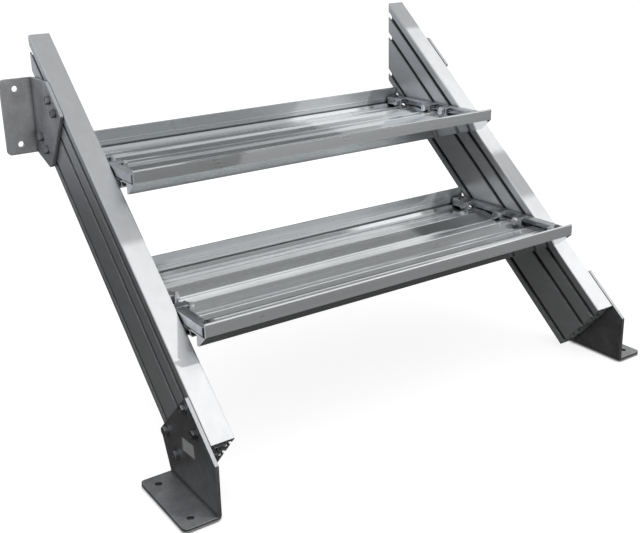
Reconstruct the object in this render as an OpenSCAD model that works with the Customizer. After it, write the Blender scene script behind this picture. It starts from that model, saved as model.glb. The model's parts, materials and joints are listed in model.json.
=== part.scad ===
// Portable caravan step: two slotted aluminium stringers carry two ribbed treads.
// Steel angle brackets fix the top to the sill and stand the lower end on the ground.
// Millimetres, +Z up, +Y towards the caravan. The origin is the middle of the four sill holes.

/* [Stringers] */
// Width of a stringer
stringer_w = 40; // [30:1:60]
// Depth of a stringer, square to its front face
stringer_d = 130; // [124:1:180]
// Length of a stringer along its front face
stringer_l = 810; // [760:5:1000]
// Angle between the stringers and the ground
slope = 40.5; // [36:0.5:46]
// Clear width between the stringers
clear_w = 770; // [500:5:1000]
// Height of the stringers' lower front corner above the ground
lower_lift = 107; // [100:1:140]
// Wall of the stringer profile
stringer_wall = 3; // [2:0.5:5]
// Radius of the stringer's long edges
stringer_r = 3; // [1:0.5:5]
// Distance from the stringer's cut upper end to the caravan's wall
end_set_back = 2; // [1:0.5:10]

/* [T slots] */
// Distance of the front slot from the front face
slot_1 = 18; // [16:1:22]
// Distance of the middle slot from the front face
slot_2 = 52; // [44:1:60]
// Distance of the rear slot from the back face
slot_3_back = 17; // [16:1:24]
// Width of a slot's mouth
slot_mouth = 9; // [8.6:0.1:10]
// Width of the room behind the mouth
slot_room = 17; // [15:0.5:19]
// Thickness of the lips beside the mouth
slot_lip = 2.5; // [2:0.25:4]
// Depth of the room behind the lips
slot_deep = 6.5; // [6.5:0.25:8]
// Wall around the room
slot_wall = 2; // [1.5:0.25:3]

/* [Treads] */
// Height of the lower tread's front lip above the ground
lower_tread_h = 256; // [230:1:300]
// Height from one tread to the next
riser = 186; // [170:1:210]
// Distance from a tread's front lip back to its rear bolt
nosing_reach = 257.7; // [250:0.1:270]
// Height of the front lip above the tread's flats
lip_h = 24; // [18:1:30]
// Thickness of the front lip
lip_t = 4; // [3:0.5:6]
// Height of the nosing's upright front face
nosing_face = 21; // [14:1:24]
// Depth of the nosing from its lip to its lowest edge
nosing_drop = 44; // [40:1:60]
// Distance from the front face back to the nosing's lowest edge
nosing_toe = 26; // [20:1:34]
// Width of the nosing profile, front to back
nosing_l = 101; // [97:1:125]
// Width of a plank, front to back
plank_l = 80; // [80:1:100]
// Depth of the grooves below the tread's flats
groove_h = 5; // [3:0.5:8]
// Height of the small beads on the flats
bead_h = 0.8; // [0.4:0.1:1.5]
// Width of a bead
bead_w = 2; // [1.5:0.5:4]
// Thickness of the tread's skin
skin = 2.6; // [2:0.2:4]
// Width of the ribs below the skin
rib_w = 2.5; // [2:0.5:4]
// Width of the rear profile, front to back
rear_l = 39; // [39:1:60]
// Height of the rear wall above the front lip's top
rear_rise = 10; // [2:1:30]
// Thickness of the rear wall
rear_t = 3; // [2:0.5:5]

/* [Tread brackets] */
// Width of a tread bracket, along the tread
end_w = 29; // [26:1:45]
// Height of a tread bracket above the beads
end_h = 15; // [15:0.1:24]
// Thickness of the bracket's top
end_top_t = 3; // [2:0.5:4]
// Thickness of the bracket's two upright walls
end_wall_t = 4; // [3:0.5:6]
// Distance from the tread's front face to the bracket
end_front = 11; // [8:1:16]
// Length of the bracket's closed front and rear blocks
end_block = 23; // [16:1:26]
// Half the length of the lug around each bolt
end_lug = 11; // [9:1:14]
// Distance from the rear wall to the bracket's end
end_rear = 4; // [1:0.5:8]

/* [Fasteners] */
// Radius of the slot bolts
bolt_r = 4; // [3.5:0.25:4]
// Width across the flats of the bolt heads
head_af = 13; // [11:0.5:13]
// Height of the bolt heads
head_h = 5.3; // [4:0.1:8]
// Radius of the washers
washer_r = 7.5; // [7:0.5:9]
// Thickness of the washers
washer_t = 1.6; // [1:0.1:2.5]
// Length of a slot nut along the slot
nut_l = 20; // [16:1:26]
// Thickness of a slot nut behind the lips
nut_t = 5.5; // [4:0.25:5.5]
// Radius of the deck screws
screw_r = 3; // [2.5:0.25:3.5]
// Radius of the deck screws' heads
screw_head_r = 5.2; // [4.5:0.1:7]
// Height of the deck screws' heads
screw_head_h = 3; // [2:0.25:5]

/* [Foot brackets] */
// Thickness of the foot and sill plates
plate_t = 6; // [4:0.5:8]
// Width of the foot flange, from the stringer's side
foot_w = 60; // [55:1:100]
// Length of the foot flange
foot_l = 150; // [140:1:220]
// How far the plate runs past the stringer's lower end
foot_past = 30; // [28:1:45]
// Where the plate's upper edge starts on the front face
foot_up = 84; // [78:1:120]
// Radius of the two foot holes
foot_hole_r = 5.5; // [4:0.25:7]
// Distance between the two foot holes
foot_hole_pitch = 105; // [90:1:110]
// Distance from the flange's front edge to the first foot hole
foot_hole_in = 22; // [16:1:26]
// Distance from the stringer's side to the foot holes
foot_hole_out = 39; // [32:1:42]
// Where the lower foot bolt in the front slot sits
foot_bolt_front = 29; // [22:1:34]
// Where the lower foot bolt in the rear slot sits
foot_bolt_rear = 38; // [30:1:44]
// Distance between the two foot bolts of one slot
foot_bolt_pitch = 41; // [30:1:44]

/* [Sill brackets] */
// Width of the sill flange, from the stringer's side
sill_w = 62; // [58:1:100]
// Height of the sill flange
sill_h = 136; // [126:1:200]
// Radius of the four sill holes
sill_hole_r = 5.5; // [4:0.25:7]
// Distance between a sill flange's two holes
sill_hole_pitch = 100; // [80:1:110]
// Distance from the stringer's side to the sill holes
sill_hole_out = 36; // [32:1:42]
// Height from the middle of the sill holes to the stringer's top corner
sill_drop = 141; // [130:1:150]
// How far the sill plate runs down the stringer from its top corner
sill_reach = 192; // [190:1:210]
// Distance between the two sill bolts of one slot
sill_bolt_pitch = 30; // [24:1:34]
// Bend radius on the outside of both plates
bend_r = 8; // [7:0.5:10]
// Radius of the plates' free corners
corner_r = 8; // [3:0.5:12]

/* [Label] */
// Length of the blank label
label_l = 38; // [20:1:44]
// Height of the blank label
label_h = 21; // [10:1:24]
// Thickness of the blank label
label_t = 0.4; // [0.2:0.1:1]

/* [Clearances] */
// Gap between a sliding piece and the stringer
slide_gap = 0.3; // [0.2:0.05:0.5]
// Gap between the profiles of a tread
joint_gap = 0.3; // [0.1:0.05:0.5]
// Gap around a bolt or screw in its hole
hole_gap = 0.2; // [0.1:0.05:0.4]

/* [Hidden] */
$fn = 48;
slip = 0.01;
co = cos(slope);
si = sin(slope);
half_in = clear_w / 2;
half_out = half_in + stringer_w;
slot_3 = stringer_d - slot_3_back;
front_y = stringer_l * co;
wall_y = front_y + end_set_back;
top_z = lower_lift + stringer_l * si;
sill_z = top_z - sill_drop;
// Height, in the tread's own frame, of the flats, beads, grooves and underside
flat_z = -lip_h;
bead_z = flat_z + bead_h;
groove_z = flat_z - groove_h;
under_z = -nosing_drop;
tread_l = nosing_l + 2 * plank_l + rear_l;
rear_wall_y = tread_l - rear_t;
// Height of the tread bolts' axes below the lip's top
end_top_z = bead_z + end_h;
bolt_z = bead_z + washer_r + hole_gap;
tread_half = half_in - slide_gap;
upper_tread_h = lower_tread_h + riser;
// Length of bolt between a plate's outer face and the nut's far face
nut_in = slot_lip + slide_gap + nut_t;
plate_bolt_l = washer_t + plate_t + slide_gap + nut_in;
end_bolt_l = washer_t + end_w + slide_gap + nut_in;

// A point on a stringer: a runs up the slope, b runs in from the front face
function rail_y(a, b) = a * co + b * si;
function rail_z(a, b) = lower_lift + a * si - b * co;
// The place along the slope where a slot reaches a height, and its distance back
function slot_a(b, z) = (z - lower_lift + b * co) / si;
function slot_y(b, z) = rail_y(slot_a(b, z), b);
// Where the slots of the front row cross the tread bolts' height on the lower tread
lower_y = slot_y(slot_3, lower_tread_h + bolt_z) - nosing_reach;
going = riser * co / si;
upper_y = lower_y + going;

// Points of a convex outline with its corners rounded
function unit(v) = v / norm(v);
function arc_at(p, q, n, r) =
    let (u = unit(p - q), v = unit(n - q), h = acos(u * v) / 2, d = r / tan(h),
        m = q + unit(u + v) * r / sin(h), s = q + u * d - m, e = q + v * d - m)
    [for (i = [0:8]) m + r * unit(s * (1 - i / 8) + e * i / 8)];
function rounded(pts, r) =
    [for (i = [0:len(pts) - 1]) each
        arc_at(pts[(i + len(pts) - 1) % len(pts)], pts[i], pts[(i + 1) % len(pts)], r[i])];

// The ground frame, with its front at the stringers' lower end, moved to the sill holes
module placed() {
    translate([0, -wall_y, -sill_z]) children();
}

// A copy on the left is a mirror of the right
module on_side(side) {
    if (side > 0) children();
    else mirror([1, 0, 0]) children();
}

// Children stand in a stringer's own frame: X across, Y in from the front face, Z up the slope
module on_rail() {
    translate([0, 0, lower_lift]) rotate([slope - 90, 0, 0]) children();
}

module round_box(w, d, r) {
    translate([r, 0]) square([w - 2 * r, d]);
    translate([0, r]) square([w, d - 2 * r]);
    for (x = [r, w - r], y = [r, d - r]) translate([x, y]) circle(r);
}

module slot_walls(b) {
    reach = slot_lip + slot_deep + slot_wall;
    half = slot_room / 2 + slot_wall;
    translate([slip, b - half]) square([reach, 2 * half]);
    translate([stringer_w - reach - slip, b - half]) square([reach, 2 * half]);
    translate([slip, b - slot_wall / 2]) square([stringer_w - 2 * slip, slot_wall]);
}

module slot_cut(b) {
    for (x = [-slip, stringer_w - slot_lip - slip])
        translate([x, b - slot_mouth / 2]) square([slot_lip + 2 * slip, slot_mouth]);
    for (x = [slot_lip, stringer_w - slot_lip - slot_deep])
        translate([x, b - slot_room / 2]) square([slot_deep, slot_room]);
}

module stringer_section() {
    difference() {
        union() {
            difference() {
                round_box(stringer_w, stringer_d, stringer_r);
                translate([stringer_wall, stringer_wall])
                    square([stringer_w - 2 * stringer_wall, stringer_d - 2 * stringer_wall]);
            }
            for (b = [slot_1, slot_2, slot_3]) slot_walls(b);
        }
        for (b = [slot_1, slot_2, slot_3]) slot_cut(b);
    }
}

module stringer(side) {
    color([0.78, 0.79, 0.80]) placed() on_side(side) difference() {
        translate([half_in, 0, 0]) on_rail()
            linear_extrude(stringer_l + 10) stringer_section();
        translate([half_in - 1, front_y, -10])
            cube([stringer_w + 2, stringer_l, top_z + 200]);
    }
}

// A hexagon bolt along X with its head towards +X and the underside of the head at zero
module hex_bolt(length) {
    rotate([0, 90, 0]) {
        difference() {
            cylinder(h = head_h, r = head_af / 2 / cos(30), $fn = 6);
            translate([0, 0, head_h - 0.6]) cylinder(h = 1, r = head_af * 0.3);
        }
        translate([0, 0, -length]) cylinder(h = length + 0.5, r = bolt_r);
    }
}

module washer() {
    rotate([0, 90, 0]) difference() {
        cylinder(h = washer_t, r = washer_r);
        translate([0, 0, -1]) cylinder(h = washer_t + 2, r = bolt_r + hole_gap);
    }
}

// A slot nut whose seat, behind the lips, faces +X at zero
module slot_nut() {
    neck = slot_mouth - 2 * slide_gap;
    room = slot_room - 2 * slide_gap;
    rotate([slope - 90, 0, 0]) difference() {
        union() {
            translate([-nut_t, -room / 2, -nut_l / 2]) cube([nut_t, room, nut_l]);
            translate([-slip, -neck / 2, -nut_l / 2]) cube([slot_lip - 0.5, neck, nut_l]);
        }
        rotate([0, 90, 0]) translate([0, 0, -nut_t - 1])
            cylinder(h = nut_t + slot_lip + 2, r = bolt_r + hole_gap / 2);
    }
}

// Places of the foot bolts and the sill bolts on a stringer, as [a, b]
foot_spots = [
    [foot_bolt_front, slot_1], [foot_bolt_front + foot_bolt_pitch, slot_1],
    [foot_bolt_rear, slot_3], [foot_bolt_rear + foot_bolt_pitch, slot_3]];
sill_low = stringer_l - sill_reach;
sill_spots = [
    [sill_low + 24, slot_1], [sill_low + 24 + sill_bolt_pitch, slot_1],
    [sill_low + 22, slot_3], [sill_low + 22 + sill_bolt_pitch, slot_3]];

module at_spots(spots, x) {
    for (p = spots) translate([x, rail_y(p[0], p[1]), rail_z(p[0], p[1])]) children();
}

module plate_holes(spots) {
    at_spots(spots, half_out - 1) rotate([0, 90, 0])
        cylinder(h = plate_t + 3, r = bolt_r + hole_gap);
}

module plate_side(pts, r) {
    translate([half_out + slide_gap, 0, 0])
        rotate([90, 0, 90]) linear_extrude(plate_t) polygon(rounded(pts, r));
}

// The rounded outside of a bend, as the cut that leaves it
module bend_cut(length) {
    difference() {
        translate([-1, -1, -1]) cube([bend_r + 1, bend_r + 1, length + 2]);
        translate([bend_r, bend_r, -2]) cylinder(h = length + 4, r = bend_r);
    }
}

foot_y = -foot_past * co;
foot_pts = [
    [foot_y, 0], [foot_y + foot_l, 0],
    [rail_y(foot_up + 8, stringer_d + 2), rail_z(foot_up + 8, stringer_d + 2)],
    [rail_y(foot_up - 4, 0), rail_z(foot_up - 4, 0)],
    [foot_y, rail_z(-foot_past, 0)]];

module foot_bracket(side) {
    color([0.28, 0.28, 0.29]) placed() on_side(side) difference() {
        union() {
            plate_side(foot_pts, [0.5, 0.5, corner_r, 3, 3]);
            translate([half_out + slide_gap, foot_y, 0]) {
                cube([foot_w / 2, foot_l, plate_t]);
                translate([0, corner_r, 0])
                    cube([foot_w - slide_gap, foot_l - 2 * corner_r, plate_t]);
                cube([foot_w - slide_gap - corner_r, foot_l, plate_t]);
                for (y = [corner_r, foot_l - corner_r])
                    translate([foot_w - slide_gap - corner_r, y, 0])
                        cylinder(h = plate_t, r = corner_r);
            }
        }
        translate([half_out + slide_gap, foot_y - 1, 0]) rotate([90, 0, 0])
            mirror([0, 0, 1]) bend_cut(foot_l + 60);
        for (y = [foot_hole_in, foot_hole_in + foot_hole_pitch])
            translate([half_out + foot_hole_out, foot_y + y, -1])
                cylinder(h = plate_t + 2, r = foot_hole_r);
        plate_holes(foot_spots);
    }
}

sill_pts = [
    [wall_y, sill_z - sill_h / 2], [wall_y, sill_z + sill_h / 2],
    [(sill_z + sill_h / 2 - lower_lift) * co / si, sill_z + sill_h / 2],
    [rail_y(sill_low, 0), rail_z(sill_low, 0)],
    [rail_y(sill_low - 10, stringer_d - 10), rail_z(sill_low - 10, stringer_d - 10)],
    [rail_y(sill_low - 2, stringer_d + 4), rail_z(sill_low - 2, stringer_d + 4)]];

module sill_bracket(side) {
    color([0.55, 0.56, 0.57]) placed() on_side(side) difference() {
        union() {
            plate_side(sill_pts, [0.5, 0.5, 3, 4, 4, 3]);
            translate([half_out + slide_gap, wall_y - plate_t, sill_z - sill_h / 2]) {
                cube([sill_w - slide_gap - corner_r, plate_t, sill_h]);
                translate([0, 0, corner_r])
                    cube([sill_w - slide_gap, plate_t, sill_h - 2 * corner_r]);
                for (z = [corner_r, sill_h - corner_r])
                    translate([sill_w - slide_gap - corner_r, plate_t, z])
                        rotate([90, 0, 0]) cylinder(h = plate_t, r = corner_r);
            }
        }
        translate([half_out + slide_gap, wall_y, sill_z - sill_h / 2]) mirror([0, 1, 0])
            bend_cut(sill_h);
        for (z = [-1, 1])
            translate([half_out + sill_hole_out, wall_y + 1, sill_z + z * sill_hole_pitch / 2])
                rotate([90, 0, 0]) cylinder(h = plate_t + 2, r = sill_hole_r);
        plate_holes(sill_spots);
    }
}

// Bolts, washers and slot nuts of one plate
module plate_bolts(side, spots) {
    color([0.62, 0.63, 0.64]) placed() on_side(side)
        at_spots(spots, half_out + slide_gap + plate_t + washer_t) hex_bolt(plate_bolt_l);
}

module plate_washers(side, spots) {
    color([0.60, 0.61, 0.62]) placed() on_side(side)
        at_spots(spots, half_out + slide_gap + plate_t) washer();
}

module plate_nuts(side, spots) {
    color([0.50, 0.51, 0.52]) placed() on_side(side)
        at_spots(spots, half_out - slot_lip - slide_gap) slot_nut();
}

// Outline of a slope and flat with a bead at each end of the flat, from a groove
function bead(y) = [[y, flat_z], [y + 0.4, bead_z], [y + bead_w, bead_z], [y + bead_w + 0.4, flat_z]];

// A bar of tread profile along X, given in the tread's own frame of depth and height
module bar(y, z, colour = [0.74, 0.76, 0.77]) {
    color(colour) placed() translate([-tread_half, y, z])
        rotate([90, 0, 90]) linear_extrude(2 * tread_half) children();
}

// An outline listed clockwise, turned to run the other way
function turned(p) = [for (i = [len(p) - 1:-1:0]) p[i]];

// Screws go down through the front and rear blocks of the tread brackets
screw_spots = [end_front + end_block / 2, rear_wall_y - end_rear - end_block / 2];
screw_x = end_w / 2;

module screw_holes(y, z, spot) {
    for (side = [-1, 1]) placed()
        translate([side * (tread_half - screw_x), y + screw_spots[spot], z + groove_z - 6])
            cylinder(h = lip_h + groove_h + 6 - 1, r = screw_r + hole_gap);
}

module nosing_section() {
    step = nosing_l - 12;
    foot_z = flat_z - skin;
    difference() {
        union() {
            polygon(turned(concat(
                [[0, -nosing_face], [0, -0.8], [0.8, 0], [lip_t - 0.8, 0], [lip_t, -0.8],
                    [lip_t, flat_z + 1], [lip_t + 1, flat_z]],
                bead(nosing_l - 41),
                [[nosing_l - 36, flat_z], [nosing_l - 36, flat_z - 1.2],
                    [nosing_l - 34, flat_z - 1.2], [nosing_l - 34, flat_z]],
                bead(step - 4),
                [[nosing_l - 6, groove_z], [nosing_l - joint_gap, groove_z],
                    [nosing_l - joint_gap, groove_z - skin], [nosing_l - 7, groove_z - skin],
                    [step - 2, foot_z], [nosing_toe + 5, foot_z], [nosing_toe + 5, under_z],
                    [nosing_toe, under_z]])));
            translate([nosing_l / 2, under_z + 8]) square([rib_w, foot_z - under_z - 7.9]);
            translate([nosing_l / 2 - 4, under_z + 8]) square([rib_w + 8, rib_w]);
            translate([step - 8, under_z]) square([rib_w, foot_z - under_z + 0.1]);
            translate([step - 16, under_z]) square([rib_w + 8, rib_w]);
        }
        polygon(turned([
            [11 + lip_t / 4, foot_z], [nosing_toe + 5 - rib_w, foot_z],
            [nosing_toe + 5 - rib_w, under_z + 3.5], [nosing_toe + 0.3, under_z + 3.5]]));
    }
}

module plank_section() {
    top_y = plank_l * 0.52;
    end_y = plank_l - 12;
    polygon(turned(concat(
        [[0, groove_z], [5, groove_z], [9, groove_z + 1],
            [top_y * 0.62, groove_z + groove_h * 0.66], [top_y, flat_z]],
        bead(top_y + 0.2), bead(end_y - 3),
        [[end_y + 5, groove_z], [plank_l - joint_gap, groove_z],
            [plank_l - joint_gap, groove_z - skin], [end_y + 4, groove_z - skin],
            [end_y - 1, flat_z - skin], [top_y, flat_z - skin],
            [top_y * 0.62, groove_z + groove_h * 0.66 - skin], [9, groove_z - skin + 0.6],
            [5, groove_z - skin - joint_gap - skin], [-6, groove_z - skin - joint_gap - skin],
            [-6, groove_z - skin - joint_gap], [0, groove_z - skin - joint_gap]])));
    for (y = [18, end_y - 8]) translate([y, under_z])
        square([rib_w, groove_z - under_z + (y > 20 ? groove_h - skin + 1 : 0)]);
    translate([18, under_z]) square([end_y - 26 + rib_w, rib_w]);
}

module rear_section() {
    wall_y0 = rear_l - rear_t;
    band = rear_l - rear_t - 18;
    polygon(turned(concat(
        [[0, groove_z], [4, groove_z], [8, groove_z + 3], [band - 2, groove_z + 3]],
        [[band - 1, flat_z]], bead(band),
        [[wall_y0 - 1, flat_z], [wall_y0, flat_z + 1], [wall_y0, rear_rise - 0.8],
            [wall_y0 + 0.8, rear_rise], [rear_l - 0.8, rear_rise], [rear_l, rear_rise - 0.8],
            [rear_l, rear_rise - 16], [rear_l + 4, rear_rise - 16],
            [rear_l + 4, rear_rise - 22], [rear_l + 2, rear_rise - 22],
            [rear_l + 2, rear_rise - 18.5], [rear_l, rear_rise - 18.5],
            [rear_l, under_z + 4], [wall_y0, under_z + 4], [wall_y0, flat_z - skin],
            [band - 1, flat_z - skin], [band - 2, groove_z + 3 - skin], [8, groove_z + 3 - skin],
            [5, groove_z - skin - joint_gap - skin], [-6, groove_z - skin - joint_gap - skin],
            [-6, groove_z - skin - joint_gap], [0, groove_z - skin - joint_gap]])));
    translate([band - 4, under_z + 4]) square([rib_w, groove_z + 3 - skin / 2 - under_z - 4]);
}

module nosing(y, z) {
    difference() {
        bar(y, z) nosing_section();
        screw_holes(y, z, 0);
    }
}

module plank(y, z, row) {
    bar(y + nosing_l + row * plank_l, z) plank_section();
}

module rear_profile(y, z) {
    difference() {
        bar(y + nosing_l + 2 * plank_l, z) rear_section();
        screw_holes(y, z, 1);
    }
}

// The heights and distances of the three bolts of one tread bracket
function end_spots(y, z) = [for (b = [slot_1, slot_2, slot_3]) slot_y(b, z + bolt_z) - y];

module at_end_spots(y, z, inboard) {
    for (s = end_spots(y, z))
        translate([half_in - inboard, y + s, z + bolt_z]) mirror([1, 0, 0]) children();
}

module tread_bracket(side, y, z) {
    rear = rear_wall_y - end_rear;
    length = rear - end_front;
    color([0.66, 0.67, 0.69]) placed() on_side(side) difference() {
        translate([tread_half - end_w, y + end_front, z + bead_z]) difference() {
            union() {
                translate([0, 0, end_h - end_top_t]) cube([end_w, length, end_top_t]);
                translate([end_w - end_wall_t, 0, 0]) cube([end_wall_t, length, end_h]);
                cube([end_w, end_block, end_h]);
                translate([0, length - end_block, 0]) cube([end_w, end_block, end_h]);
                for (s = end_spots(y, z)) translate([0, s - end_front - end_lug, 0])
                    cube([end_wall_t, min(2 * end_lug, length - s + end_front + end_lug), end_h]);
            }
            for (s = screw_spots) translate([end_w - screw_x, s - end_front, -1])
                cylinder(h = end_h + 2, r = screw_r + hole_gap);
        }
        for (s = end_spots(y, z))
            translate([half_in - end_w - 2, y + s, z + bolt_z]) rotate([0, 90, 0])
                cylinder(h = end_w + 4, r = bolt_r + hole_gap);
    }
}

module tread_bolts(side, y, z) {
    color([0.72, 0.73, 0.74]) placed() on_side(side)
        at_end_spots(y, z, slide_gap + end_w + washer_t) hex_bolt(end_bolt_l);
}

module tread_washers(side, y, z) {
    color([0.64, 0.65, 0.66]) placed() on_side(side)
        at_end_spots(y, z, slide_gap + end_w) washer();
}

module tread_nuts(side, y, z) {
    color([0.50, 0.51, 0.52]) placed() on_side(side) for (s = end_spots(y, z))
        translate([half_in + slot_lip + slide_gap, y + s, z + bolt_z])
            mirror([1, 0, 0]) slot_nut();
}

// Screws that hold a tread bracket down on the nosing and on the rear profile
module deck_screws(side, y, z) {
    color([0.45, 0.46, 0.47]) placed() on_side(side) for (s = screw_spots)
        translate([tread_half - screw_x, y + s, z + end_top_z]) {
            difference() {
                cylinder(h = screw_head_h, r = screw_head_r);
                translate([0, 0, screw_head_h - 1.8]) cylinder(h = 3, r = 2.3, $fn = 6);
            }
            translate([0, 0, groove_z - end_top_z - 1])
                cylinder(h = end_top_z - groove_z + 1.5, r = screw_r);
        }
}

module label() {
    color([0.72, 0.73, 0.74]) placed()
        translate([-half_out - slide_gap - plate_t - label_t, rail_y(26, 62), rail_z(26, 62)])
            rotate([-5, 0, 0]) translate([0, -label_l / 2, -label_h / 2])
                cube([label_t, label_l, label_h]);
}

module left_stringer() { stringer(-1); }
module right_stringer() { stringer(1); }
module left_sill_bracket() { sill_bracket(-1); }
module right_sill_bracket() { sill_bracket(1); }
module left_sill_bolts() { plate_bolts(-1, sill_spots); }
module right_sill_bolts() { plate_bolts(1, sill_spots); }
module left_sill_washers() { plate_washers(-1, sill_spots); }
module right_sill_washers() { plate_washers(1, sill_spots); }
module left_sill_nuts() { plate_nuts(-1, sill_spots); }
module right_sill_nuts() { plate_nuts(1, sill_spots); }
module left_foot_bracket() { foot_bracket(-1); }
module right_foot_bracket() { foot_bracket(1); }
module left_foot_bolts() { plate_bolts(-1, foot_spots); }
module right_foot_bolts() { plate_bolts(1, foot_spots); }
module left_foot_washers() { plate_washers(-1, foot_spots); }
module right_foot_washers() { plate_washers(1, foot_spots); }
module left_foot_nuts() { plate_nuts(-1, foot_spots); }
module right_foot_nuts() { plate_nuts(1, foot_spots); }
module blank_label() { label(); }
module lower_nosing() { nosing(lower_y, lower_tread_h); }
module lower_front_plank() { plank(lower_y, lower_tread_h, 0); }
module lower_rear_plank() { plank(lower_y, lower_tread_h, 1); }
module lower_rear_profile() { rear_profile(lower_y, lower_tread_h); }
module lower_left_bracket() { tread_bracket(-1, lower_y, lower_tread_h); }
module lower_right_bracket() { tread_bracket(1, lower_y, lower_tread_h); }
module lower_left_bolts() { tread_bolts(-1, lower_y, lower_tread_h); }
module lower_right_bolts() { tread_bolts(1, lower_y, lower_tread_h); }
module lower_left_washers() { tread_washers(-1, lower_y, lower_tread_h); }
module lower_right_washers() { tread_washers(1, lower_y, lower_tread_h); }
module lower_left_nuts() { tread_nuts(-1, lower_y, lower_tread_h); }
module lower_right_nuts() { tread_nuts(1, lower_y, lower_tread_h); }
module lower_left_screws() { deck_screws(-1, lower_y, lower_tread_h); }
module lower_right_screws() { deck_screws(1, lower_y, lower_tread_h); }
module upper_nosing() { nosing(upper_y, upper_tread_h); }
module upper_front_plank() { plank(upper_y, upper_tread_h, 0); }
module upper_rear_plank() { plank(upper_y, upper_tread_h, 1); }
module upper_rear_profile() { rear_profile(upper_y, upper_tread_h); }
module upper_left_bracket() { tread_bracket(-1, upper_y, upper_tread_h); }
module upper_right_bracket() { tread_bracket(1, upper_y, upper_tread_h); }
module upper_left_bolts() { tread_bolts(-1, upper_y, upper_tread_h); }
module upper_right_bolts() { tread_bolts(1, upper_y, upper_tread_h); }
module upper_left_washers() { tread_washers(-1, upper_y, upper_tread_h); }
module upper_right_washers() { tread_washers(1, upper_y, upper_tread_h); }
module upper_left_nuts() { tread_nuts(-1, upper_y, upper_tread_h); }
module upper_right_nuts() { tread_nuts(1, upper_y, upper_tread_h); }
module upper_left_screws() { deck_screws(-1, upper_y, upper_tread_h); }
module upper_right_screws() { deck_screws(1, upper_y, upper_tread_h); }

left_stringer();
right_stringer();
left_sill_bracket();
right_sill_bracket();
left_sill_bolts();
right_sill_bolts();
left_sill_washers();
right_sill_washers();
left_sill_nuts();
right_sill_nuts();
left_foot_bracket();
right_foot_bracket();
left_foot_bolts();
right_foot_bolts();
left_foot_washers();
right_foot_washers();
left_foot_nuts();
right_foot_nuts();
blank_label();
lower_nosing();
lower_front_plank();
lower_rear_plank();
lower_rear_profile();
lower_left_bracket();
lower_right_bracket();
lower_left_bolts();
lower_right_bolts();
lower_left_washers();
lower_right_washers();
lower_left_nuts();
lower_right_nuts();
lower_left_screws();
lower_right_screws();
upper_nosing();
upper_front_plank();
upper_rear_plank();
upper_rear_profile();
upper_left_bracket();
upper_right_bracket();
upper_left_bolts();
upper_right_bolts();
upper_left_washers();
upper_right_washers();
upper_left_nuts();
upper_right_nuts();
upper_left_screws();
upper_right_screws();
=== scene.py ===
import json
import math
import bpy
import bmesh
from mathutils import Matrix, Vector


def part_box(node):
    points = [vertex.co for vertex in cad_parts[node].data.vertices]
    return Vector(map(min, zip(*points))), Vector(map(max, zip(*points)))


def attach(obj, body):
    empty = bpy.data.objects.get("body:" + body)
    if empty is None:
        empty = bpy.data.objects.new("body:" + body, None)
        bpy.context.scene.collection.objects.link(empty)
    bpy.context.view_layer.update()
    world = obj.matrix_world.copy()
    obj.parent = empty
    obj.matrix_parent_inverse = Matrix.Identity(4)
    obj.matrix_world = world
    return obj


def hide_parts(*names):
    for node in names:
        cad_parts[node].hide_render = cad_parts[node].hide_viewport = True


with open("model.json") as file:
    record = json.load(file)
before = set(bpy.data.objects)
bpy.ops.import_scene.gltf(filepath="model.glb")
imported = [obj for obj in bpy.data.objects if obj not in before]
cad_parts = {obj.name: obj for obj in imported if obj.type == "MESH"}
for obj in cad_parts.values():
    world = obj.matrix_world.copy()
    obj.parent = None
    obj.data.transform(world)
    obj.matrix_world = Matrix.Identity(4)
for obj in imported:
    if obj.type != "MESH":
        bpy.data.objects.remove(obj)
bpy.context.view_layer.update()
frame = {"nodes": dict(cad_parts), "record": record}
nodes = frame["nodes"]
scene = bpy.context.scene

SLOPE = math.radians(40.5)
GROUND = -0.49205
MM = 0.001

# ------------------------------------------------------------------ camera
# Fitted to the object's edges, in pixels of a 640 x 533 picture
PHOTO_WIDE, PHOTO_HIGH = 640, 533
FOCAL_LENGTH = 932.61
CENTRE_X, CENTRE_Y = 285.94, 230.65
SENSOR = 36

cam_data = bpy.data.cameras.new("camera")
cam = bpy.data.objects.new("camera", cam_data)
scene.collection.objects.link(cam)
right = Vector((0.84181, -0.53870, -0.03406))
up = Vector((0.19201, 0.23987, 0.95163))
back = Vector((-0.50447, -0.80763, 0.30536))
turn = Matrix((right, up, back)).transposed().to_4x4()
cam.matrix_world = Matrix.Translation((-0.93829, -1.66020, 0.29940)) @ turn
cam_data.sensor_fit = "HORIZONTAL"
cam_data.sensor_width = SENSOR
cam_data.lens = FOCAL_LENGTH / PHOTO_WIDE * SENSOR
cam_data.shift_x = (PHOTO_WIDE / 2 - CENTRE_X) / PHOTO_WIDE
cam_data.shift_y = (CENTRE_Y - PHOTO_HIGH / 2) / PHOTO_WIDE
cam_data.dof.use_dof = False
cam_data.clip_start, cam_data.clip_end = 0.05, 50
scene.camera = cam
scene.view_settings.view_transform = "Standard"


# ------------------------------------------------------------------ node helpers
def is_socket(value):
    return isinstance(value, bpy.types.NodeSocket)


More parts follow.
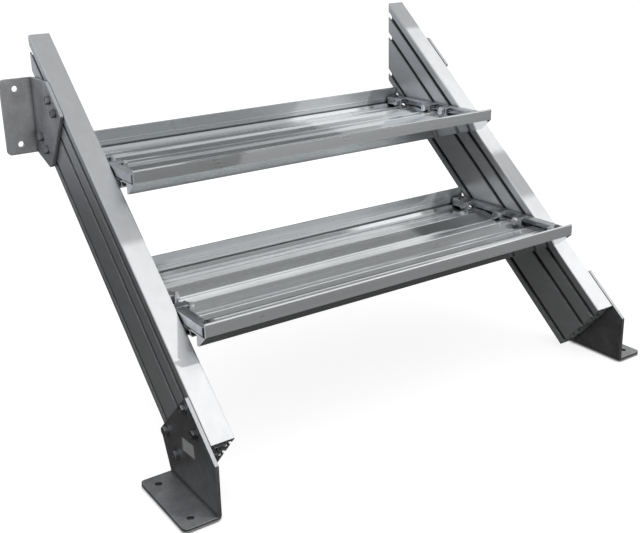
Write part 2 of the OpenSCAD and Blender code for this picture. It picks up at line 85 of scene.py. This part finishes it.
class Tree:
    """A small wrapper for building a material's or the world's nodes."""

    def __init__(self, tree):
        self.t = tree
        tree.nodes.clear()

    def node(self, kind, **sets):
        n = self.t.nodes.new("ShaderNode" + kind)
        for key, value in sets.items():
            setattr(n, key, value)
        return n

    def put(self, socket, value):
        """Links another node's output, or sets a plain value."""
        if is_socket(value):
            self.t.links.new(value, socket)
        else:
            socket.default_value = value

    def tint(self, socket, colour):
        """Links another node's colour, or sets an opaque one."""
        self.put(socket, colour if is_socket(colour) else (*colour, 1))

    def math(self, op, a, b=None, clamp=False):
        n = self.node("Math", operation=op, use_clamp=clamp)
        self.put(n.inputs[0], a)
        if b is not None:
            self.put(n.inputs[1], b)
        return n.outputs[0]

    def plus(self, a, b, clamp=False):
        return self.math("ADD", a, b, clamp)

    def minus(self, a, b, clamp=False):
        return self.math("SUBTRACT", a, b, clamp)

    def times(self, a, b):
        return self.math("MULTIPLY", a, b)

    def weigh(self, a, share_a, b, share_b):
        return self.plus(self.times(a, share_a), self.times(b, share_b))

    def ramp(self, value, *stops):
        """Straight steps between (place, grey or colour) pairs."""
        n = self.node("ValToRGB")
        e = n.color_ramp.elements
        while len(e) > 1:
            e.remove(e[-1])
        for k, (place, v) in enumerate(stops):
            s = e[0] if k == 0 else e.new(place)
            s.position = place
            s.color = (*v, 1) if isinstance(v, tuple) else (v, v, v, 1)
        self.put(n.inputs[0], value)
        return n.outputs[0]

    def rise(self, value, low, high):
        """0 up to low, 1 from high on, and straight between them."""
        return self.ramp(value, (low, 0.0), (high, 1.0))

    def mix(self, fac, a, b):
        n = self.node("Mix", data_type="RGBA")
        self.put(n.inputs[0], fac)
        self.tint(n.inputs[6], a)
        self.tint(n.inputs[7], b)
        return n.outputs[2]

    def coords(self, rot=(0, 0, 0), scale=(1, 1, 1)):
        c = self.node("TexCoord")
        m = self.node("Mapping")
        m.inputs["Rotation"].default_value = rot
        m.inputs["Scale"].default_value = scale
        self.put(m.inputs[0], c.outputs["Object"])
        return m.outputs[0]

    def noise(self, at, scale, detail, rough, distort=0.0):
        n = self.node("TexNoise")
        n.inputs["Scale"].default_value = scale
        n.inputs["Detail"].default_value = detail
        n.inputs["Roughness"].default_value = rough
        n.inputs["Distortion"].default_value = distort
        self.put(n.inputs["Vector"], at)
        return n.outputs["Fac"]

    def split(self, vector):
        """The three parts of a vector."""
        n = self.node("SeparateXYZ")
        self.put(n.inputs[0], vector)
        return n.outputs

    def facing(self, axis, limit):
        """1 on flat faces whose normal lies along an axis by more than the limit."""
        normal = self.split(self.node("NewGeometry").outputs["True Normal"])
        return self.math("GREATER_THAN", self.math("ABSOLUTE", normal[axis]), limit)


def new_material(name):
    m = bpy.data.materials.new(name)
    m.use_nodes = True
    return m, Tree(m.node_tree)


def close(t, colour, rough, normal, metallic=1.0):
    """The shader that ends a material."""
    p = t.node("BsdfPrincipled")
    t.put(p.inputs["Base Color"], colour)
    t.put(p.inputs["Roughness"], rough)
    t.put(p.inputs["Normal"], normal)
    t.put(p.inputs["Metallic"], metallic)
    t.put(t.node("OutputMaterial").inputs[0], p.outputs[0])


def edge_mask(t, radius, low, high):
    """1 on the sharp edges of a piece and 0 on its flats, with the rounded normal."""
    bevel = t.node("Bevel", samples=6)
    bevel.inputs["Radius"].default_value = radius
    dot = t.node("VectorMath", operation="DOT_PRODUCT")
    t.put(dot.inputs[0], bevel.outputs[0])
    t.put(dot.inputs[1], t.node("NewGeometry").outputs["Normal"])
    away = t.minus(1.0, dot.outputs["Value"])
    return t.rise(away, low, high), bevel.outputs[0]


def openness(t, reach):
    """1 on open faces, and less where other faces stand closer than the reach."""
    ao = t.node("AmbientOcclusion", samples=8)
    ao.inputs["Distance"].default_value = reach
    return ao.outputs["AO"]


def crevice_shade(t, reach, shut, clear):
    """0.9 deep in a slot or a corner, where shade is painted, and 0 on open faces."""
    return t.ramp(openness(t, reach), (shut, 0.9), (clear, 0.0))


def bump(t, height, strength, distance, normal):
    b = t.node("Bump")
    b.inputs["Strength"].default_value = strength
    b.inputs["Distance"].default_value = distance
    t.put(b.inputs["Height"], height)
    t.put(b.inputs["Normal"], normal)
    return b.outputs[0]


# ------------------------------------------------------------------ finishes
X, Y, Z = 0, 1, 2
# Colours of the painted shade in slots, corners and hollows
PAINTED_SHADE = (0.05, 0.05, 0.052)
PAINTED_HOLLOW_SHADE = (0.04, 0.04, 0.042)
# Painted highlight colour for the plates' cut edges, then colours of real scuffs and sawn ends
CUT_EDGE_HIGHLIGHT = (0.78, 0.79, 0.80)
BARE_SCUFF = (0.86, 0.87, 0.88)
SAWN_METAL = (0.92, 0.93, 0.94)


def stretched(axis, across, lengthwise):
    """Noise scales for grain that runs along one axis."""
    scales = [across] * 3
    scales[axis] = lengthwise
    return scales


def extruded(name, dark, light, rough, streak, edge, painted_edge_tone, metal, rot, axis, upright=0.0):
    """Aluminium profile: die lines along it, faint blotches, fine scuffs, a painted line along
    its edges (highlight when pale, shade when dark) and painted shade in its slots.
    """
    m, t = new_material(name)
    lines = t.noise(t.coords(rot, stretched(axis, 900.0, 2.5)), 1.0, 6, 0.65)
    bands = t.noise(t.coords(rot, stretched(axis, 60.0, 0.8)), 1.0, 3, 0.5)
    clouds = t.noise(t.coords(rot), 9, 5, 0.55)
    grain = t.noise(t.coords(rot), 1400, 2, 0.5)
    scuff_at = t.coords((rot[0] + 0.35, 0.2, 0.25), stretched(axis, 260.0, 22.0))
    scuffs = t.rise(t.noise(scuff_at, 1.0, 3, 0.7, distort=0.4), 0.66, 0.74)
    edges, soft = edge_mask(t, edge, 0.0, 0.25)

    colour = t.mix(t.rise(t.weigh(lines, 0.45, bands, 0.55), 0.36, 0.64), dark, light)
    dull = tuple(0.90 * c for c in dark)
    colour = t.mix(t.times(t.rise(clouds, 0.35, 0.70), 0.35), colour, dull)
    # Painted edge line: a highlight on the bare profile, shade on the anodised one
    colour = t.mix(t.times(edges, 0.55), colour, painted_edge_tone)
    colour = t.mix(t.times(scuffs, 0.12), colour, BARE_SCUFF)
    # Painted shade deep in the slots and corners
    colour = t.mix(crevice_shade(t, 12 * MM, 0.34, 0.78), colour, PAINTED_SHADE)
    r = t.plus(rough - streak * 0.5, t.times(lines, streak))
    r = t.plus(r, t.times(t.minus(clouds, 0.5), 0.10))
    r = t.plus(r, t.times(scuffs, 0.08), clamp=True)
    if upright:
        # Faces that stand upright along the profile keep a duller, rougher skin.
        wall = t.facing(Y, 0.9)
        r = t.plus(r, t.times(wall, upright))
        metal = t.minus(metal, t.times(wall, 0.5 * upright))
        # Sawn ends are bright and rough.
        sawn = t.facing(X, 0.9)
        marks = t.ramp(lines, (0.35, 0.55), (0.60, 1.0))
        colour = t.mix(t.times(sawn, marks), colour, SAWN_METAL)
        r = t.plus(r, t.times(sawn, 0.25))
    height = t.weigh(lines, 0.8, grain, 0.2)
    close(t, colour, r, bump(t, height, 0.10, 0.04 * MM, soft), metal)
    return m


def plate(name, dark, light, rough):
    """Bent steel plate: mottled satin skin, bare cut edges painted light as a highlight, bright
    worn corners and painted shade round its bolts and in its bends.
    """
    m, t = new_material(name)
    clouds = t.noise(t.coords(), 26, 6, 0.62, distort=0.6)
    spots = t.noise(t.coords(), 190, 4, 0.7)
    grain = t.noise(t.coords(), 1500, 2, 0.5)
    drips = t.noise(t.coords(scale=stretched(Z, 300.0, 9.0)), 1.0, 4, 0.6)
    edges, soft = edge_mask(t, 1.2 * MM, 0.01, 0.22)

    colour = t.mix(t.rise(t.weigh(clouds, 0.7, spots, 0.3), 0.36, 0.62), dark, light)
    pale = tuple(1.5 * c for c in light)
    colour = t.mix(t.times(t.rise(drips, 0.60, 0.75), 0.22), colour, pale)
    # The plate's cut edge, bare and painted light as a highlight: faces to the front and the
    # rear, above the foot flange.
    normal = t.split(t.node("NewGeometry").outputs["True Normal"])
    place = t.split(t.node("TexCoord").outputs["Object"])
    cut = t.math("LESS_THAN", t.math("ABSOLUTE", normal[X]), 0.5)
    cut = t.times(cut, t.math("GREATER_THAN", place[Z], GROUND + 9 * MM))
    cut = t.times(cut, t.math("LESS_THAN", t.math("ABSOLUTE", normal[Y]), 0.9))
    cut_glint = t.ramp(spots, (0.30, 0.80), (0.60, 1.0))
    colour = t.mix(t.times(cut, cut_glint), colour, CUT_EDGE_HIGHLIGHT)
    wear = t.times(edges, t.ramp(spots, (0.30, 0.35), (0.60, 1.0)))
    colour = t.mix(t.times(wear, 0.8), colour, (0.80, 0.81, 0.82))
    # Painted shade round the bolts and in the bends
    colour = t.mix(crevice_shade(t, 9 * MM, 0.35, 0.90), colour, PAINTED_SHADE)
    r = t.plus(rough - 0.10, t.times(clouds, 0.20))
    r = t.minus(r, t.times(edges, 0.08), clamp=True)
    height = t.weigh(spots, 0.7, grain, 0.3)
    close(t, colour, r, bump(t, height, 0.16, 0.4 * MM, soft), metallic=0.92)
    return m


def hardware(name, dark, light, rough, edge=0.5 * MM, scale=420, pit=0.18):
    """Plated fastener or casting with fine pitting, painted highlights on its edges and painted
    shade in its hollows.
    """
    m, t = new_material(name)
    pits = t.noise(t.coords(), scale, 4, 0.65)
    clouds = t.noise(t.coords(), 60, 4, 0.6)
    edges, soft = edge_mask(t, edge, 0.01, 0.25)
    colour = t.mix(t.rise(clouds, 0.36, 0.64), dark, light)
    # Painted highlight on the edges
    colour = t.mix(t.times(edges, 0.6), colour, (0.92, 0.92, 0.93))
    # Painted shade in the pockets and round the heads
    colour = t.mix(crevice_shade(t, 7 * MM, 0.30, 0.75), colour, PAINTED_HOLLOW_SHADE)
    r = t.plus(rough - 0.08, t.times(pits, 0.16), clamp=True)
    close(t, colour, r, bump(t, pits, pit, 0.2 * MM, soft))
    return m


def label_foil(name, dark, light, rough):
    """The blank label: pale satin foil with a soft grain and slightly dirty edges."""
    m, t = new_material(name)
    grain = t.noise(t.coords(), 900, 3, 0.6)
    clouds = t.noise(t.coords(), 70, 4, 0.6)
    edges, soft = edge_mask(t, 0.8 * MM, 0.01, 0.3)
    colour = t.mix(t.rise(clouds, 0.35, 0.65), dark, light)
    colour = t.mix(t.times(edges, 0.4), colour, (0.45, 0.45, 0.45))
    r = t.plus(rough, t.times(grain, 0.15))
    close(t, colour, r, bump(t, grain, 0.10, 0.1 * MM, soft), metallic=0.0)
    return m


MATS = {
    # Each profile's edges take a painted line: dark shade on the anodised stringer, a highlight
    # on the bare profile
    "anodised_stringer": extruded(
        "anodised", dark=(0.81, 0.82, 0.83), light=(0.89, 0.90, 0.91), rough=0.31, streak=0.06,
        edge=0.9 * MM, painted_edge_tone=(0.50, 0.51, 0.53), metal=0.62, rot=(-SLOPE, 0.0, 0.0), axis=Y),
    "bare_profile": extruded(
        "bare_aluminium", dark=(0.76, 0.78, 0.79), light=(0.88, 0.90, 0.91), rough=0.13,
        streak=0.05, edge=0.5 * MM, painted_edge_tone=(0.90, 0.91, 0.92), metal=0.80, rot=(0, 0, 0), axis=X,
        upright=0.16),
    "foot_plate": plate(
        "dark_steel", dark=(0.33, 0.33, 0.335), light=(0.50, 0.50, 0.505), rough=0.44),
    "sill_plate": plate(
        "grey_steel", dark=(0.42, 0.42, 0.43), light=(0.60, 0.60, 0.61), rough=0.42),
    "tread_bracket": hardware(
        "bracket_casting", dark=(0.56, 0.57, 0.59), light=(0.72, 0.73, 0.75), rough=0.34,
        edge=0.8 * MM, scale=260, pit=0.05),
    "fastener": hardware(
        "plated_steel", dark=(0.26, 0.26, 0.27), light=(0.48, 0.48, 0.49), rough=0.18),
    # A lighter copy of the fastener finish: painted light for the lamp-lit tread bolts
    "lamp_lit_bolt": hardware(
        "lamp_lit_steel", dark=(0.72, 0.72, 0.73), light=(0.88, 0.88, 0.89), rough=0.16),
    "slot_nut": hardware(
        "dark_nut", dark=(0.10, 0.10, 0.11), light=(0.20, 0.20, 0.21), rough=0.45),
    "deck_screw": hardware(
        "dark_screw", dark=(0.16, 0.16, 0.17), light=(0.30, 0.30, 0.31), rough=0.38),
    "label": label_foil(
        "label_foil", dark=(0.74, 0.745, 0.75), light=(0.84, 0.845, 0.85), rough=0.42),
}

# Each node takes its slot's finish; the treads' bolts and washers take a lighter copy of the
# fastener finish, painted lighter for where the lamp falls on them.
slot_of = {s["node"]: s["material_slot"] for s in frame["record"]["subparts"]}
for name, obj in nodes.items():
    obj.data.materials.clear()
    in_tread = name.startswith(("lower_", "upper_")) and slot_of[name] == "fastener"
    obj.data.materials.append(MATS["lamp_lit_bolt" if in_tread else slot_of[name]])


# ------------------------------------------------------------------ finer tread pieces
# Heights below the nosing's top and depths behind its front, in millimetres
LIP_RADIUS = 2.4
FLAT = -24      # the deck's flats
HOOK = -29      # the lower edges, where one profile hooks into the next
SKIN = 2.6      # the profiles' thickness
UNDER = FLAT - SKIN
HOOK_UNDER = HOOK - SKIN
PLANK_UNDER = -31.9     # what the rear profile's hook reaches under
LEG = -44       # the nosing's feet
REAR_AT = 261   # the rear profile, behind the nosing's front
WALL_IN, WALL_OUT = 36, 39
WALL_TOP, WALL_FOOT = 10, -40
FINE = []


def bead(y, top):
    """The small raised line at an edge of a tread's flat, as profile points."""
    return [(y, top), (y + 0.4, top + 0.8), (y + 1.6, top + 0.8), (y + 2.0, top)]


def arc(cy, cz, r, start, end, steps):
    """Profile points round a centre, from one angle to another in degrees."""
    out = []
    for k in range(steps + 1):
        a = math.radians(start + (end - start) * k / steps)
        out.append((cy + r * math.cos(a), cz + r * math.sin(a)))
    return out


def add_object(name, mesh):
    obj = bpy.data.objects.new(name, mesh)
    scene.collection.objects.link(obj)
    return obj


def from_bmesh(name, bm):
    mesh = bpy.data.meshes.new(name)
    bm.to_mesh(mesh)
    bm.free()
    return add_object(name, mesh)


def keep_piece(obj, slot, body, *nodes_gone):
    """Gives a new piece its finish and its body, and hides the CAD nodes that it stands for."""
    obj.data.materials.append(MATS[slot])
    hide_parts(*nodes_gone)
    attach(obj, body)
    FINE.append(obj)


def profile_bar(name, outline, x0, x1, y0, z0):
    """A length of profile along X from an outline of (depth, height) points in millimetres."""
    bm = bmesh.new()
    ends = [[bm.verts.new((x, y0 + a * MM, z0 + b * MM)) for a, b in outline] for x in (x0, x1)]
    n = len(outline)
    for k in range(n):
        after = (k + 1) % n
        bm.faces.new((ends[0][k], ends[0][after], ends[1][after], ends[1][k]))
    caps = [bm.faces.new(end) for end in ends]
    bmesh.ops.triangulate(bm, faces=caps)
    bmesh.ops.recalc_face_normals(bm, faces=bm.faces)
    return from_bmesh(name, bm)


def nosing_outline():
    # Front, rounded lip and its back
    out = [(0, -21), (0, -LIP_RADIUS)]
    out += arc(LIP_RADIUS, -LIP_RADIUS, LIP_RADIUS, 180, 90, 5)
    out += [(3.4, 0), (4, -0.6), (4, FLAT + 1), (5, FLAT)]
    # Flat with a wide groove
    out += [(50, FLAT), (51, FLAT - 2.4), (56, FLAT - 2.4), (57.5, FLAT)]
    # Slot between two beads
    out += bead(60, FLAT) + [(65, FLAT), (65, FLAT - 1.2), (67, FLAT - 1.2), (67, FLAT)]
    out += bead(85, FLAT)
    # Ramp down to the hooked edge, and back along its underside
    out += [(89, FLAT), (95, HOOK), (100.7, HOOK), (100.7, HOOK_UNDER), (94, HOOK_UNDER)]
    out += [(87, UNDER), (83.5, UNDER)]
    # Rear leg with its toe
    out += [(83.5, LEG), (73, LEG), (73, LEG + 2.5), (81, LEG + 2.5), (81, UNDER)]
    # Sloping underside, and the T rib under the groove
    out += [(53, HOOK), (53, -33.5), (57, -33.5), (57, -36)]
    out += [(46.5, -36), (46.5, -33.5), (50.5, -33.5), (50.5, HOOK), (48.5, UNDER)]
    # Solid toe, with the underside that slopes up to the front
    return out + [(31, UNDER), (31, LEG), (26, LEG)]


def rear_outline():
    # Broad gutter and the steep bright step up to the wall
    out = [(0, HOOK), (22, HOOK), (22.6, -28.6), (26.6, -28.6), (27.2, -28.4)]
    out += [(32.4, -23.0), (33.0, -22.8), (34.2, -22.8)]
    # Slit at the wall's foot, and a groove in the wall over it
    out += [(34.2, -25.0), (WALL_IN, -25.0), (WALL_IN, -22.6), (38, -22.6), (38, -19.6)]
    # Fine rib on the wall, and the wall's rounded top
    out += [(WALL_IN, -19.6), (WALL_IN, -13.0), (35.5, -12.5), (35.5, -11.3), (WALL_IN, -10.8)]
    out += [(WALL_IN, 9.2), (36.8, WALL_TOP), (38.2, WALL_TOP), (WALL_OUT, 9.2)]
    # Hooked rib behind the wall
    out += [(WALL_OUT, -6), (43, -6), (43, -12), (41, -12), (41, -8.5), (WALL_OUT, -8.5)]
    # Wall's foot, underside with its leg, and the hook under the plank
    out += [(WALL_OUT, WALL_FOOT), (WALL_IN, WALL_FOOT), (WALL_IN, -28), (33.5, -28)]
    out += [(30, -31.4), (17, HOOK_UNDER), (16.5, WALL_FOOT), (14, WALL_FOOT)]
    out += [(14, HOOK_UNDER), (5, HOOK_UNDER)]
    out += [(5, PLANK_UNDER - SKIN), (-6, PLANK_UNDER - SKIN)]
    return out + [(-6, PLANK_UNDER), (0, PLANK_UNDER)]


for level in ("lower", "upper"):
    body = level + "_tread"
    lo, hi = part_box(level + "_nosing")
    front, top = lo[1], hi[2]
    nosing = profile_bar(level + "_nosing_fine", nosing_outline(), lo[0], hi[0], front, top)
    keep_piece(nosing, "bare_profile", body, level + "_nosing")
    lo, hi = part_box(level + "_rear_profile")
    rear = profile_bar(
        level + "_rear_fine", rear_outline(), lo[0], hi[0], front + REAR_AT * MM, top)
    keep_piece(rear, "bare_profile", body, level + "_rear_profile")


# ------------------------------------------------------------------ finer tread brackets
WASHER_RADIUS = 7.5 * MM
# Of the 95 mm from the first bolt to the last, the middle one is at 34
MIDDLE_BOLT, BOLT_SPAN = 34, 95
# Distances from the stringer, in millimetres
WEB, REAR_SHELF, FRONT_SHELF, LUG, REACH = 4, 15, 17, 25, 29
# Lengths along the bracket and heights
END_BLOCK = 23 * MM
HALF_LUG, HALF_POST = 9 * MM, 11 * MM
SHELF_THICK = 3 * MM
CLEAR = 0.2 * MM
ROUND = 0.7 * MM


def block(bm, x0, x1, y0, y1, z0, z1):
    v = [bm.verts.new((x, y, z)) for x in (x0, x1) for y in (y0, y1) for z in (z0, z1)]
    for f in ((0, 1, 3, 2), (4, 6, 7, 5), (0, 4, 5, 1), (2, 3, 7, 6), (0, 2, 6, 4), (1, 5, 7, 3)):
        bm.faces.new([v[k] for k in f])


def bracket(node, washers):
    """Closed end blocks, a lug at each bolt, and open pockets between them."""
    lo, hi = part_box(node)
    bolt_lo, bolt_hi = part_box(washers)
    first, last = bolt_lo[1] + WASHER_RADIUS, bolt_hi[1] - WASHER_RADIUS
    middle = first + (last - first) * MIDDLE_BOLT / BOLT_SPAN
    y0, y1, bottom, top = lo[1], hi[1], lo[2], hi[2]
    shelf = top - SHELF_THICK
    spans = [
        (0, WEB, y0, y1, bottom),
        (WEB, REACH, y0, y0 + END_BLOCK, bottom),
        (WEB, REACH, y1 - END_BLOCK, y1, bottom),
        (WEB, FRONT_SHELF, y0 + END_BLOCK, first - HALF_POST, shelf),
        (WEB, REAR_SHELF, middle + HALF_POST, last - HALF_POST, shelf),
    ]
    for bolt in (first, middle, last):
        far = min(bolt + HALF_POST, y1 - END_BLOCK - CLEAR)
        spans.append((WEB, LUG, bolt - HALF_LUG, min(bolt + HALF_LUG, far), shelf))
        spans.append((LUG, REACH, bolt - HALF_POST, far, bottom))

    left = "_left_" in node
    outer, inward = (lo[0], MM) if left else (hi[0], -MM)
    bm = bmesh.new()
    for near, far, ya, yb, z in spans:
        xa, xb = sorted((outer + inward * near, outer + inward * far))
        block(bm, xa, xb, ya, yb, z, top)
    bmesh.ops.recalc_face_normals(bm, faces=bm.faces)
    bmesh.ops.bevel(
        bm, geom=bm.edges[:], offset=ROUND, segments=2, profile=0.5, affect="EDGES")
    return from_bmesh(node + "_fine", bm)


for level in ("lower", "upper"):
    for side in ("left", "right"):
        node = "%s_%s_bracket" % (level, side)
        piece = bracket(node, "%s_%s_washers" % (level, side))
        keep_piece(piece, "tread_bracket", level + "_tread", node)


# ------------------------------------------------------------------ studio helpers
def glow(name, colour):
    """An emission material of a plain colour, or of one that colour(t) builds."""
    m, t = new_material(name)
    e = t.node("Emission")
    t.tint(e.inputs[0], colour(t) if callable(colour) else colour)
    t.put(t.node("OutputMaterial").inputs[0], e.outputs[0])
    return m


def shade(t, axis, *stops):
    """A tone that runs along a world axis, as (metres, grey or colour) pairs."""
    place = t.split(t.node("NewGeometry").outputs["Position"])[axis]
    lo, hi = stops[0][0], stops[-1][0]
    at = t.math("DIVIDE", t.minus(place, lo), hi - lo)
    return t.ramp(at, *[((p - lo) / (hi - lo), v) for p, v in stops])


def shaded(name, axis, *stops):
    return glow(name, lambda t: shade(t, axis, *stops))


def mirror_or_lens(t):
    """1 for rays that come from the camera, from metal or through glass."""
    path = t.node("LightPath").outputs
    seen = t.math("MAXIMUM", path["Is Camera Ray"], path["Is Glossy Ray"])
    return t.math("MAXIMUM", seen, path["Is Transmission Ray"])


def level_sheet(x0, x1, y0, y1, z):
    return [(x0, y0, z), (x1, y0, z), (x1, y1, z), (x0, y1, z)]


def standing_sheet(x0, y0, x1, y1, z0, z1):
    return [(x0, y0, z0), (x1, y1, z0), (x1, y1, z1), (x0, y0, z1)]


def quad(name, corners, material):
    mesh = bpy.data.meshes.new(name)
    mesh.from_pydata(corners, [], [(0, 1, 2, 3)])
    mesh.materials.append(material)
    o = add_object(name, mesh)
    return o


def card(name, corners, material, shadow=False):
    """A studio card that only the reflections show."""
    o = quad(name, corners, material)
    o.visible_camera = False
    o.visible_diffuse = False
    o.visible_shadow = shadow


# ------------------------------------------------------------------ floor and world
# White floor: its own white to the camera and in the metal, with the object's soft shadow on it
FLOOR_HALF = 14
FLOOR_WHITE = 0.84
floor, t = new_material("floor")
# The white falls off into painted shade where a plate lies close over the floor, as it does under
# a bolt hole.
near = openness(t, 12 * MM)
painted_floor_shade = t.ramp(near, (0.25, 0.10), (0.75, 1.0))
white = t.node("Emission")
t.put(white.inputs[1], t.times(painted_floor_shade, FLOOR_WHITE))
matt = t.node("BsdfDiffuse")
t.put(matt.inputs[0], t.mix(painted_floor_shade, (0.05, 0.05, 0.05), (0.55, 0.55, 0.55)))
both = t.node("AddShader")
t.put(both.inputs[0], white.outputs[0])
t.put(both.inputs[1], matt.outputs[0])
dull = t.node("BsdfDiffuse")
t.tint(dull.inputs[0], (0.16, 0.16, 0.16))
pick = t.node("MixShader")
t.put(pick.inputs[0], mirror_or_lens(t))
t.put(pick.inputs[1], dull.outputs[0])
t.put(pick.inputs[2], both.outputs[0])
t.put(t.node("OutputMaterial").inputs[0], pick.outputs[0])
floor_area = (-FLOOR_HALF, FLOOR_HALF, -FLOOR_HALF, FLOOR_HALF)
quad("floor", level_sheet(*floor_area, GROUND - 1 * MM), floor)

# White surroundings to the camera and in the metal, a sky that brightens upwards for the rest
world = bpy.data.worlds.new("studio")
scene.world = world
world.use_nodes = True
t = Tree(world.node_tree)
upward = t.split(t.node("TexCoord").outputs["Generated"])[Z]
sky = t.ramp(t.plus(t.times(upward, 0.5), 0.5), (0.45, 0.05), (0.68, 0.22), (1.0, 0.90))
bg = t.node("Background")
t.put(bg.inputs[0], t.mix(mirror_or_lens(t), sky, (1, 1, 1)))
bg.inputs[1].default_value = 1.0
t.put(t.node("OutputWorld").inputs[0], bg.outputs[0])

# ------------------------------------------------------------------ cards and lamp
# Cards, as a photographer sets them round shiny metal: to the left, behind and in front
SIDE_TOP, BACK_TOP, FRONT_TOP = 1.1, 3.4, -0.15
side_card = shaded(
    "side_card", Z, (-0.5, (0.030, 0.030, 0.032)), (-0.25, (0.05, 0.05, 0.055)),
    (-0.12, (0.26, 0.27, 0.29)), (0.0, (0.48, 0.50, 0.53)), (0.45, (0.64, 0.68, 0.74)),
    (SIDE_TOP, (0.72, 0.75, 0.80)))
card("card_left", standing_sheet(-1.00, -1.25, 0.05, 2.60, GROUND, SIDE_TOP), side_card)

# The back card has a bright band at the left, and is bright below and grey above at the right.
near_back = (
    (-0.5, (0.20, 0.21, 0.21)), (0.14, (0.06, 0.07, 0.073)), (0.80, (0.08, 0.095, 0.10)),
    (0.88, (0.92, 0.94, 0.94)), (1.24, (0.92, 0.94, 0.94)), (1.32, (0.07, 0.08, 0.085)),
    (BACK_TOP, (0.07, 0.08, 0.085)))
far_back = (
    (-0.5, (0.80, 0.81, 0.82)), (1.28, (0.84, 0.86, 0.86)), (1.45, (0.10, 0.11, 0.115)),
    (BACK_TOP, (0.16, 0.17, 0.175)))
back_card = glow("back_card", lambda t: t.mix(
    shade(t, X, (2.05, 0.0), (2.45, 1.0)), shade(t, Z, *near_back), shade(t, Z, *far_back)))
card("card_back", standing_sheet(-2.4, 3.0, 8.0, 1.876, GROUND, BACK_TOP), back_card)

front_card = shaded(
    "front_card", Z, (-0.5, (0.17, 0.17, 0.165)), (-0.3, (0.10, 0.10, 0.097)),
    (FRONT_TOP, (0.14, 0.14, 0.136)))
card("card_front", standing_sheet(-0.35, -1.75, 2.2, -0.55, GROUND, FRONT_TOP), front_card)

# Dark cards just over the floor, which the lower faces see
low_card = shaded("low_card", Y, (-1.5, 0.10), (-0.95, 0.09), (-0.80, 0.05), (1.5, 0.05))
for k, area in enumerate([(-1.1, 1.4, -1.5, 1.5), (-1.1, -0.1, 1.5, 2.4)]):
    card("card_low_%d" % k, level_sheet(*area, GROUND + 2 * MM), low_card)

# Dark cards that the treads' rear walls see by way of the decks, as (x, x, y, z, z)
wall_card = glow("wall_card", (0.05, 0.055, 0.055))
for k, (x0, x1, y, z0, z1) in enumerate([
        (-0.25, 0.34, -0.40, -0.045, 0.08), (-0.13, 0.34, -0.40, 0.08, 0.26),
        (-0.40, 0.60, -0.97, 0.055, 0.22), (0.72, 1.80, -0.97, -0.14, 0.05)]):
    card("card_wall_%d" % k, standing_sheet(x0, y, x1, y, z0, z1), wall_card)

# Cards overhead: all but the dim one also cut off the lamp's light
TOP_HEIGHT = 1.014
top_card = shaded(
    "top_card", Y, (-0.9, (0.66, 0.67, 0.68)), (-0.2, (0.48, 0.49, 0.50)),
    (0.9, (0.44, 0.45, 0.46)))
far_card = shaded(
    "far_card", Y, (-1.0, (0.90, 0.905, 0.91)), (-0.28, (0.90, 0.905, 0.91)),
    (-0.14, (0.52, 0.525, 0.53)), (0.9, (0.46, 0.465, 0.47)))
dim_card = glow("dim_card", (0.08, 0.08, 0.085))
for k, (area, material) in enumerate([
        ((-1.5, 0.5, -0.908, 0.9), top_card), ((0.5, 0.8, -0.80, 0.9), top_card),
        ((0.8, 2.5, -0.50, 0.9), far_card), ((1.0, 2.5, -1.0, -0.877), far_card),
        ((1.3, 2.5, -0.78, -0.52), dim_card)]):
    sheet = level_sheet(*area, TOP_HEIGHT)
    card("card_top_%d" % k, sheet, material, shadow=material is not dim_card)

# One crisp key lamp on the object alone; its light stops at the edge of the top cards.
TO_LAMP = Vector((0.50, -0.37, 0.78))
lit = bpy.data.collections.new("lit")
scene.collection.children.link(lit)
for obj in list(nodes.values()) + FINE:
    lit.objects.link(obj)
key_data = bpy.data.lights.new("key", "SUN")
key_data.energy = 3.9
key_data.angle = math.radians(0.6)
key = bpy.data.objects.new("key", key_data)
scene.collection.objects.link(key)
key.rotation_euler = TO_LAMP.to_track_quat("Z", "Y").to_euler()
key.light_linking.receiver_collection = lit
key.visible_glossy = False
